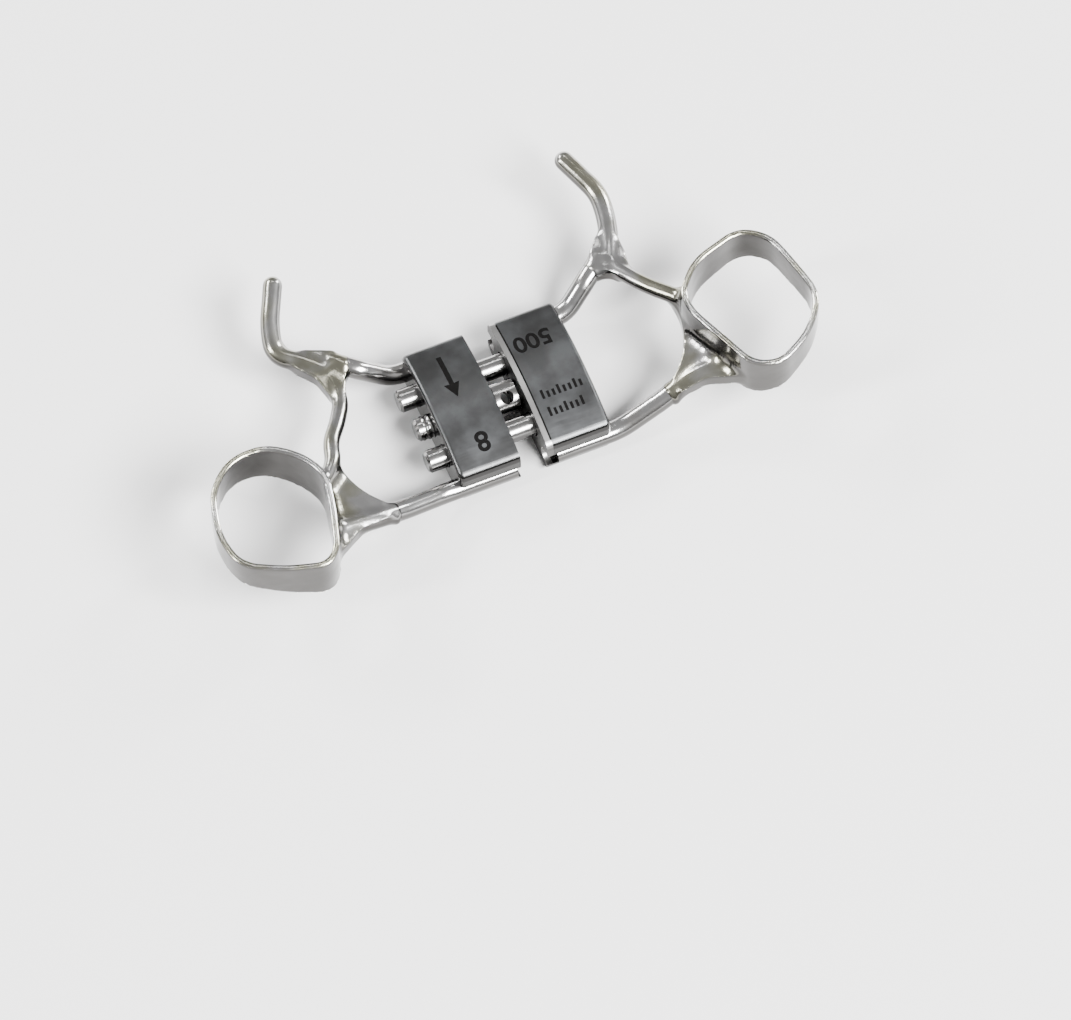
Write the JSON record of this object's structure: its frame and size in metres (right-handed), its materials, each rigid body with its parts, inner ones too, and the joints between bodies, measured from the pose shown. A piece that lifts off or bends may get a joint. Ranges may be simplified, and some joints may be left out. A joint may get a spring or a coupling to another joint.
{
  "type": "palatal expander",
  "caption": "Leaf spring palatal expander: a two-part screw body with bent wire legs welded to cast frames with molar bands and canine arms.",
  "frame": {"origin": "middle of the key hub on the screw axis, where the two key holes cross", "axes": "+X along the screw axis towards the half with the spring chamber, +Y towards the front teeth, +Z towards the biting side"},
  "size_m": [0.0475, 0.0266, 0.0076],
  "materials": {
    "cast_alloy": "electropolished cobalt chromium casting",
    "wire_steel": "polished stainless wire",
    "body_steel": "satin stainless steel with dark laser marks",
    "ground_steel": "ground stainless steel",
    "spring_alloy": "bright nickel titanium strip"
  },
  "bodies": {
    "left_half": {"left_frame": "cast_alloy", "left_front_leg": "wire_steel", "left_rear_leg": "wire_steel", "left_block": "body_steel"},
    "carriage": {"carriage": "ground_steel", "front_guide_pin": "ground_steel", "rear_guide_pin": "ground_steel"},
    "screw": {"expansion_screw": "ground_steel", "screw_collar": "ground_steel"},
    "right_half": {"right_frame": "cast_alloy", "right_front_leg": "wire_steel", "right_rear_leg": "wire_steel", "casing": "body_steel", "front_plate": "body_steel", "leaf_spring_1": "spring_alloy", "leaf_spring_2": "spring_alloy", "leaf_spring_3": "spring_alloy", "leaf_spring_4": "spring_alloy"}
  },
  "joints": [
    {"name": "carriage_slide", "type": "slide", "parent": "left_half", "child": "carriage", "axis": [1, 0, 0], "range_m": [0, 0.0042]},
    {"name": "screw_turn", "type": "hinge", "parent": "carriage", "child": "screw", "pos_m": [0, 0, 0], "axis": [1, 0, 0], "range_deg": [0, 3780]},
    {"name": "spring_slide", "type": "slide", "parent": "carriage", "child": "right_half", "axis": [1, 0, 0], "range_m": [0, 0.0018], "deforming": ["leaf_spring_1", "leaf_spring_2", "leaf_spring_3", "leaf_spring_4"]}
  ],
  "couplings": [
    {"joint": "screw_turn", "follows": "carriage_slide", "rad_per_m": 15708}
  ]
}
